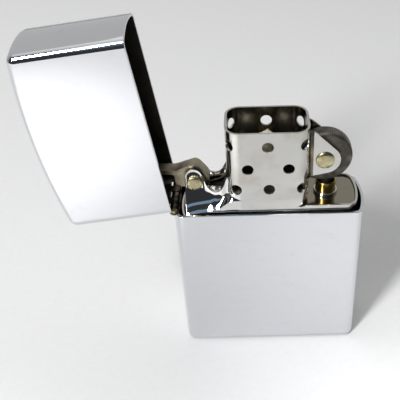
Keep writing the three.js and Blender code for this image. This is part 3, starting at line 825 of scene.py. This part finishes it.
def make_cam_ears():
    """The tank's face turns in to the cam's ears in a hollow sweep; the fold rises towards the chimney."""
    rows = 22
    shapes = []
    for face in (-1, 1):
        columns = []
        for x, fold, share, edge in curve_through(CAM_EAR, 5):
            tuck = LAP * smooth((x + 6.0) / 0.6)
            line = [(tuck + d, z) for d, z in cam_ear_section(x, fold, share, edge, rows)]
            back = []
            for i, (d, z) in enumerate(line):
                (d0, z0), (d1, z1) = line[max(0, i - 1)], line[min(len(line) - 1, i + 1)]
                size = math.hypot(d1 - d0, z1 - z0)
                back.append((d + SHEET * (z1 - z0) / size, min(z - SHEET * (d1 - d0) / size, edge)))
            section = line + back[::-1]
            columns.append([(x, face * (TANK["half_width"] - d), z) for d, z in section])
        points, faces = skin(columns, caps=False)
        count = len(columns[0])
        for start in (0, (len(columns) - 1) * count):
            for i in range(count // 2 - 1):
                faces.append((start + i, start + i + 1, start + count - 2 - i, start + count - 1 - i))
        shapes.append((points, faces))
    piece = link_mesh("cam_ears", *merged(*shapes))
    hand_over(piece, POLISHED, "insert", "insert_shell", bevel=0.18, segments=3)


make_chimney()
make_tank()
make_wheel_ears()
make_cam_ears()


# ---- plates ----
def plate_outline(x0, x1):
    """The tank's inner outline, cut off at x0 and x1."""
    loop = bowed_outline(TANK, SHEET + 0.08, end_steps=6, corner_steps=8, side_steps=40)
    clean = without_repeats([(min(max(x, x0), x1), y) for x, y in loop])
    on_cut = [i for i, (x, _) in enumerate(clean) if x in (x0, x1)]
    ends = {i for i in on_cut if clean[i - 1][0] in (x0, x1) and clean[(i + 1) % len(clean)][0] in (x0, x1)}
    return [p for i, p in enumerate(clean) if i not in ends]


def make_plates():
    holes = [
        circle(CHIMNEY["x"], 0, WICK_HOLE),
        circle(FLINT_X, 0, TUBE["outer"] + 0.06),
    ]
    shape = sheet(
        plate_outline(CAM_SIDE_END + 0.1, 20), holes,
        lambda u, v, d: (u, v, PLATE_TOP - d), PLATE_THICKNESS,
    )
    piece = link_mesh("tank_top", *shape, flatten=True)
    hand_over(piece, PLATE, "insert", "tank_plate", bevel=0.06)
    shape = sheet(
        plate_outline(-20, CAM_SIDE_END - 0.1), [circle(SPRING_RIVET_X, 0, SPRING_RIVET_HOLE, 24)],
        lambda u, v, d: (u, v, CAM_BED_TOP - d), PLATE_THICKNESS,
    )
    piece = link_mesh("cam_bed_sheet", *shape, flatten=True)
    hand_over(piece, PLATE, "insert", "cam_bed", bevel=0.06)


make_plates()


# ---- rivets ----
def cross_rivet(x, z, size, reach):
    """A rivet along Y with a domed head outside each ear."""
    shoulder = reach + 0.02
    head = []
    for angle in quarter_turn(12):
        dome = (size["dome"] - 0.12) * cos(angle)
        head.append((max(size["head"] * sin(angle), 0.001), -shoulder - 0.12 - dome))
    head += [(size["head"], -shoulder - 0.03), (size["head"] - 0.05, -shoulder), (size["shaft"], -shoulder)]
    profile = head + [(r, -y) for r, y in reversed(head)]
    points, faces = turned(profile, 56)
    return along_y(points, x, z), faces


def make_rivets():
    for name, node, x, z, size, reach in (
        ("wheel_pin", "wheel_rivet", WHEEL_X, WHEEL_Z, WHEEL_RIVET, WHEEL_EAR_OUTER),
        ("cam_pin", "cam_rivet", CAM_X, CAM_Z, CAM_RIVET, CAM_EAR_OUTER),
    ):
        piece = link_mesh(name, *cross_rivet(x, z, size, reach))
        hand_over(piece, NICKEL, "insert", node)


make_rivets()


# ---- flint wheel ----
def make_wheel():
    steps = 6
    count = WHEEL_TEETH * steps
    chamfer = 0.38
    stations = [
        (HUB_BORE, -HUB_HALF, 0), (HUB_RADIUS - 0.15, -HUB_HALF, 0), (HUB_RADIUS, -HUB_HALF + 0.15, 0),
        (HUB_RADIUS, -WHEEL_HALF, 0), (WHEEL_RADIUS - chamfer - 0.05, -WHEEL_HALF, 0),
        (WHEEL_RADIUS - chamfer, -WHEEL_HALF + 0.02, 0.15), (WHEEL_RADIUS, -WHEEL_HALF + chamfer, 1),
    ]
    for i in range(1, 8):
        stations.append((WHEEL_RADIUS, (-1 + 2 * i / 8) * (WHEEL_HALF - chamfer), 1))
    stations += [(r, -y, depth) for r, y, depth in reversed(stations[:7])]
    slant = 0.12
    tooth = [0.0, 0.15, 0.7, 1.0, 0.7, 0.15]
    rings = []
    for radius, y, depth in stations:
        ring = []
        for i in range(count):
            angle = 2 * pi * i / count + slant * depth * y / (WHEEL_RADIUS * WHEEL_HALF)
            r = radius - depth * TOOTH_DEPTH * tooth[i % steps]
            ring.append((r * cos(angle), r * sin(angle), y))
        rings.append(ring)
    points, faces = skin(rings + [rings[0]], caps=False)
    piece = link_mesh("striker_wheel", along_y(points, WHEEL_X, WHEEL_Z), faces)
    piece.data.set_sharp_from_angle(angle=radians(40))
    hand_over(piece, WHEEL, "striker", "flint_wheel")


make_wheel()


# ---- cam lever ----
CAM_OUTLINE = [
    (-14.2, 44.1), (-16.2, 43.45), (-18.2, 42.85), (-21.3, 42.85), (-21.6, 42.6), (-21.55, 42.2),
    (-21.3, 42.0), (-18.9, 41.85), (-18.3, 41.4), (-18.2, 39.9), (-17.7, 39.4), (-16.4, 38.9),
    (-15.3, 38.4), (-14.2, 38.2), (-13.0, 38.4), (-12.1, 39.0), (-11.6, 39.8), (-11.5, 40.7),
    (-11.8, 41.6), (-12.5, 42.6), (-13.4, 43.7),
]


def make_cam():
    outline = curve_through(CAM_OUTLINE + CAM_OUTLINE[:1], 4)[:-1]
    hole = circle(CAM_X, CAM_Z, CAM_BORE)
    shape = sheet(outline, [hole], lambda u, v, d: (u, d - CAM_HALF, v), 2 * CAM_HALF)
    piece = link_mesh("cam_arm", *shape, flatten=True)
    hand_over(piece, CAM, "cam", "cam_lever", bevel=0.09, segments=3)


make_cam()


# ---- springs under the cam and the flint ----
def make_cam_spring():
    base = CAM_BED_TOP + 0.05
    thickness = 0.25
    path = [(-15.6, base), (-9.9, base)] + arc(-9.9, base + 0.95, 0.95, -90, 100, 18)[1:]
    over = [(-10.2, base + 1.9), (-13.6, base + 2.35), (-15.4, base + 2.4), (-16.6, base + 2.0)]
    path += curve_through(over, 6)[1:]
    lines = []
    for half in (-1.6, 1.6):
        for offset in (0, thickness):
            line = []
            for i, (x, z) in enumerate(path):
                (px, pz), (nx, nz) = path[max(0, i - 1)], path[min(len(path) - 1, i + 1)]
                size = math.hypot(nx - px, nz - pz)
                line.append((x - offset * (nz - pz) / size, half, z + offset * (nx - px) / size))
            lines.append(line)
    rings = [[lines[0][i], lines[1][i], lines[3][i], lines[2][i]] for i in range(len(path))]
    piece = link_mesh("cam_leaf_spring", *rod_skin(rings))
    hand_over(piece, SPRING, "insert", "cam_spring", bevel=0.04)
    profile = [
        (0.001, CAM_BED_TOP - 0.75), (0.8, CAM_BED_TOP - 0.7), (0.8, CAM_BED_TOP - 0.4),
        (0.46, CAM_BED_TOP - 0.4), (0.46, base + 0.3), (0.8, base + 0.3), (0.72, base + 0.5),
        (0.5, base + 0.64), (0.25, base + 0.69), (0.001, base + 0.7),
    ]
    piece = turned_piece("spring_rivet", profile, SPRING_RIVET_X, 32)
    hand_over(piece, NICKEL, "insert", "cam_spring_rivet", bevel=0.02)


def coil_spring(size, per_turn, sides):
    """A wire wound round the Z axis."""
    rings = []
    steps = size["turns"] * per_turn
    for k in range(steps + 1):
        angle = 2 * pi * k / per_turn
        z = size["low"] + (size["high"] - size["low"]) * k / steps
        ring = []
        for i in range(sides):
            a = 2 * pi * i / sides
            r = size["coil"] + size["wire"] * cos(a)
            ring.append((r * cos(angle), r * sin(angle), z + size["wire"] * sin(a)))
        rings.append(ring)
    return rod_skin(rings)


def make_flint_column():
    points, faces = coil_spring(FLINT_SPRING, 24, 8)
    piece = link_mesh("flint_coil", shifted(points, x=FLINT_X), faces)
    finish_edges(piece, 0)
    piece.data.materials.append(SPRING)
    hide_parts("flint_spring")
    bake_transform(piece)
    rod = [(0.001, FLINT_BOTTOM), (0.85, FLINT_BOTTOM), (1.0, 34.88), (FLINT_RADIUS, 35.1)]
    rod += [(FLINT_RADIUS, FLINT_TOP - 0.35), (1.02, FLINT_TOP - 0.05), (0.9, FLINT_TOP), (0.001, FLINT_TOP)]
    piece = turned_piece("flint_rod", rod, FLINT_X, 36)
    hand_over(piece, FLINT, "flint_column", "flint", bevel=0.03)
    tip = [
        (0.001, TIP_BOTTOM), (0.9, TIP_BOTTOM), (TIP_RADIUS, 31.95), (TIP_RADIUS, 33.4),
        (1.02, 33.5), (1.02, 33.7), (TIP_RADIUS, 33.8), (TIP_RADIUS, 34.45),
        (0.95, 34.68), (0.001, TIP_TOP),
    ]
    piece = turned_piece("spring_cap", tip, FLINT_X, 36)
    hand_over(piece, BRASS, "flint_column", "spring_tip", bevel=0.03)


def make_tube():
    """The flint tube, its mouth widened and darkened with painted shade, and the collar round it on the
    plate.
    """
    soft, mouth, throat = 0.08, 1.82, 1.1
    profile = [
        (TUBE["inner"], TUBE["bottom"]), (TUBE["outer"], TUBE["bottom"]), (TUBE["outer"], TUBE["top"] - soft),
        (TUBE["outer"] - soft, TUBE["top"]), (mouth, TUBE["top"]),
        (TUBE["inner"] + 0.05, TUBE["top"] - throat),
        (TUBE["inner"], TUBE["top"] - throat - 0.1),
    ]
    piece = turned_piece("brass_tube", profile, FLINT_X, 56, closed=True)
    hand_over(piece, BRASS, "insert", "flint_tube", bevel=0.02)

    def in_mouth(centre, normal):
        return centre.z > TUBE["top"] - throat - 0.2 and math.hypot(centre.x - FLINT_X, centre.y) < mouth

    # the mouth's inside gets the dark sheet: painted shade under the wheel
    darken_inside(piece, in_mouth, SOOT_AND_SHADE)
    low, high = COLLAR["bottom"], COLLAR["top"]
    across, down = 0.17, 0.3
    profile = [(COLLAR["inner"], low), (COLLAR["outer"], low)]
    for angle in quarter_turn(6):
        radius = COLLAR["outer"] - across + across * cos(angle)
        profile.append((radius, high - down + down * sin(angle)))
    profile.append((COLLAR["inner"], high))
    piece = turned_piece("collar_ring", profile, FLINT_X, 56, closed=True)
    hand_over(piece, STAINLESS, "insert", "tube_collar", bevel=0.02)


def make_screw():
    """The flint screw: a slotted head, and a thread cut one row of points at a time."""
    bottom, head_top, top = SCREW["bottom"], SCREW["head_top"], SCREW["top"]
    head = [(0.001, bottom), (1.8, bottom), (2.0, bottom + 0.07), (2.1, bottom + 0.25)]
    head += [(2.1, head_top), (1.0, head_top)]
    head += [(1.0, head_top - 0.02), (0.9, head_top - 0.3), (0.001, head_top - 0.3)]
    points, faces = turned(head, 64)
    piece = link_mesh("screw_head", shifted(points, x=FLINT_X), faces)
    carve(piece, [box_cutter(FLINT_X - 3, FLINT_X + 3, -0.35, 0.35, 0, bottom + 0.7)])
    hand_over(piece, BRASS, "screw", "flint_screw", bevel=0.04)
    pitch, per_turn = SCREW["pitch"], 32
    rows = int((top - head_top) / pitch * 8)
    rings = []
    for k in range(rows + 1):
        z = head_top - 0.05 + (top - head_top + 0.05) * k / rows
        ring = []
        for i in range(per_turn):
            turn = z / pitch - i / per_turn
            groove = abs((turn % 1.0) - 0.5) * 2
            cut = SCREW["thread"] * (1 - groove) * smooth((top - z) / 0.4)
            r = SCREW["shank"] - cut - 0.12 * smooth(1 - (top - z) / 0.3)
            angle = 2 * pi * i / per_turn
            ring.append((r * cos(angle), r * sin(angle), z))
        rings.append(ring)
    points, faces = rod_skin(rings)
    piece = link_mesh("screw_thread", shifted(points, x=FLINT_X), faces)
    hand_over(piece, BRASS, "screw")


make_cam_spring()
make_flint_column()
make_tube()
make_screw()


# ---- wick, cotton and felt ----
def make_wick():
    """A braided cord: strands wind both ways and weave over and under each other."""
    strands, strand_radius = 8, 0.3
    pitch = 9.0
    ring_radius = WICK_RADIUS - 2 * strand_radius
    shapes = []
    per_turn = 2 * strands * 3
    turns = (WICK_TOP - 0.3 - BRAID_BOTTOM) / pitch
    steps = int(turns * per_turn)
    for way in (-1, 1):
        for n in range(strands // 2):
            rings = []
            phase = 2 * pi * n / (strands // 2)
            for k in range(steps + 1):
                t = k / per_turn
                angle = phase + way * 2 * pi * t
                weave = cos(strands * 2 * pi * t + (0 if way > 0 else pi)) * 0.16
                r = ring_radius + strand_radius * 0.5 + weave
                z = BRAID_BOTTOM + pitch * t
                centre = Vector((r * cos(angle), r * sin(angle), z))
                out = Vector((cos(angle), sin(angle), 0))
                around = way * r * 2 * pi
                run = Vector((-around * sin(angle), around * cos(angle), pitch))
                side = out.cross(run.normalized())
                wide = strand_radius * 1.9
                thin = strand_radius
                rings.append([
                    tuple(centre + out * thin * cos(a) + side * wide * sin(a))
                    for a in [2 * pi * i / 10 for i in range(10)]
                ])
            shapes.append(rod_skin(rings))
    core = [(0.001, WICK_BOTTOM), (1.1, WICK_BOTTOM), (1.35, WICK_BOTTOM + 0.4), (1.35, 38.2), (1.15, 38.6)]
    core += [(1.15, WICK_TOP - 0.6), (1.0, WICK_TOP - 0.2), (0.6, WICK_TOP - 0.05), (0.001, WICK_TOP - 0.02)]
    shapes.append(turned(core, 32))
    points, faces = merged(*shapes)
    piece = link_mesh("braided_wick", shifted(points, x=CHIMNEY["x"]), faces)
    hand_over(piece, WICK, "insert", "wick")


def make_pads():
    """Loose cotton and the felt: soft lumpy pads inside the space of their plain solids."""
    for node in [f"cotton_pad_{i + 1}" for i in range(5)] + ["felt_pad"]:
        low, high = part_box(node)
        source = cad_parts[node]
        piece = source.copy()
        piece.data = source.data.copy()
        piece.parent = None
        piece.matrix_world = source.matrix_world.copy()
        piece.name = f"{node}_soft"
        bpy.context.scene.collection.objects.link(piece)
        remesh = piece.modifiers.new("remesh", "REMESH")
        remesh.mode = "VOXEL"
        remesh.voxel_size = 0.00045
        bake_modifiers(piece)
        felt = node == "felt_pad"
        centre = (Vector(low) + Vector(high)) / 2
        for vertex in piece.data.vertices:
            spot = vertex.co
            lump = noise.noise(spot * (900 if felt else 350)) * 0.5 + 0.5
            pull = (0.00006 if felt else 0.00028) * lump
            towards = centre - spot
            towards.x = math.copysign(min(abs(towards.x), 0.001), towards.x)
            if towards.length > 0:
                vertex.co = spot + towards.normalized() * pull
        shade_smooth(piece.data)
        hand_over(piece, FELT if felt else COTTON, "insert", node, bevel=None)


make_wick()
make_pads()


# ---- floor, light and camera ----
def make_stage():
    half, front = 3.0, -0.3
    mesh = bpy.data.meshes.new("floor")
    corners = [(-half, front, 0), (half, front, 0), (half, half, 0), (-half, half, 0)]
    mesh.from_pydata(corners, [], [(0, 1, 2, 3)])
    floor = put("floor", mesh)
    shader = Shader("pale floor")
    shader.set(roughness=0.75)
    grain = shader.noise(700, 3)
    shader.link(shader.grey_ramp(grain, [(0.3, 0.80), (0.7, 0.82)]), "Base Color")
    floor.data.materials.append(shader.material)
    make_world()


def make_world():
    """Pale behind and overhead, dark in front of the object as behind a photographer."""
    world = bpy.data.worlds.new("studio")
    world.use_nodes = True
    bpy.context.scene.world = world
    nodes, links = world.node_tree.nodes, world.node_tree.links
    direction = nodes.new("ShaderNodeTexCoord").outputs["Generated"]
    split = nodes.new("ShaderNodeSeparateXYZ")
    links.new(direction, split.inputs[0])
    front_to_back = nodes.new("ShaderNodeMapRange")
    front_to_back.inputs["From Min"].default_value = -0.35
    front_to_back.inputs["From Max"].default_value = 0.45
    links.new(split.outputs["Y"], front_to_back.inputs["Value"])
    ramp = nodes.new("ShaderNodeValToRGB")
    ramp.color_ramp.elements[0].color = (0.04, 0.042, 0.048, 1)
    ramp.color_ramp.elements[1].color = (0.56, 0.56, 0.555, 1)
    links.new(front_to_back.outputs["Result"], ramp.inputs["Fac"])
    links.new(ramp.outputs["Color"], nodes["Background"].inputs["Color"])


def area_light(name, spot, target, size, power, colour=(1, 1, 1)):
    data = bpy.data.lights.new(name, "AREA")
    data.shape = "RECTANGLE"
    data.size, data.size_y = size
    data.energy = power
    data.color = colour
    light = put(name, data)
    light.location = spot
    light.rotation_mode = "QUATERNION"
    light.rotation_quaternion = (Vector(target) - Vector(spot)).to_track_quat("-Z", "Y")


def pool_light(name, centre, radius, power):
    """A soft round patch of light on the floor, from straight above."""
    height = 0.4
    data = bpy.data.lights.new(name, "SPOT")
    data.energy = power
    data.spot_size = 2 * math.atan(radius / height)
    data.spot_blend = 0.9
    data.shadow_soft_size = 0.02
    put(name, data).location = (*centre, height)


def make_camera():
    data = bpy.data.cameras.new("camera")
    data.sensor_width = 36.0
    data.lens = 61.95
    data.shift_x = -0.16667
    data.clip_start, data.clip_end = 0.01, 20
    camera = put("camera", data)
    camera.location = (-0.003267, -0.110994, 0.118074)
    camera.rotation_euler = [radians(a) for a in (52.9286, 0.4934, -1.8449)]
    bpy.context.scene.camera = camera
    bpy.context.scene.view_settings.view_transform = "Standard"


def make_lights():
    area_light("key", (-0.472, -0.604, 0.643), (0, 0, 0.02), (0.14, 0.5), 9.1)
    area_light("overhead", (-0.1, 0.05, 0.75), (0, 0, 0), (0.7, 0.7), 0.7)
    area_light("window low", (-0.326, -1.004, 0.67), (0, 0, 0.03), (0.75, 0.09), 0.09, (0.45, 0.68, 1.0))
    area_light("window high", (-0.287, -0.883, 0.836), (0, 0, 0.03), (0.75, 0.07), 0.07, (0.45, 0.68, 1.0))
    area_light("side window", (-0.242, -0.456, 0.971), (0, 0, 0.03), (0.5, 0.16), 0.6)
    pool_light("front left pool", (-0.085, -0.088), 0.072, 6.0)
    pool_light("front right pool", (0.03, -0.038), 0.045, 1.9)


make_stage()
make_lights()
make_camera()
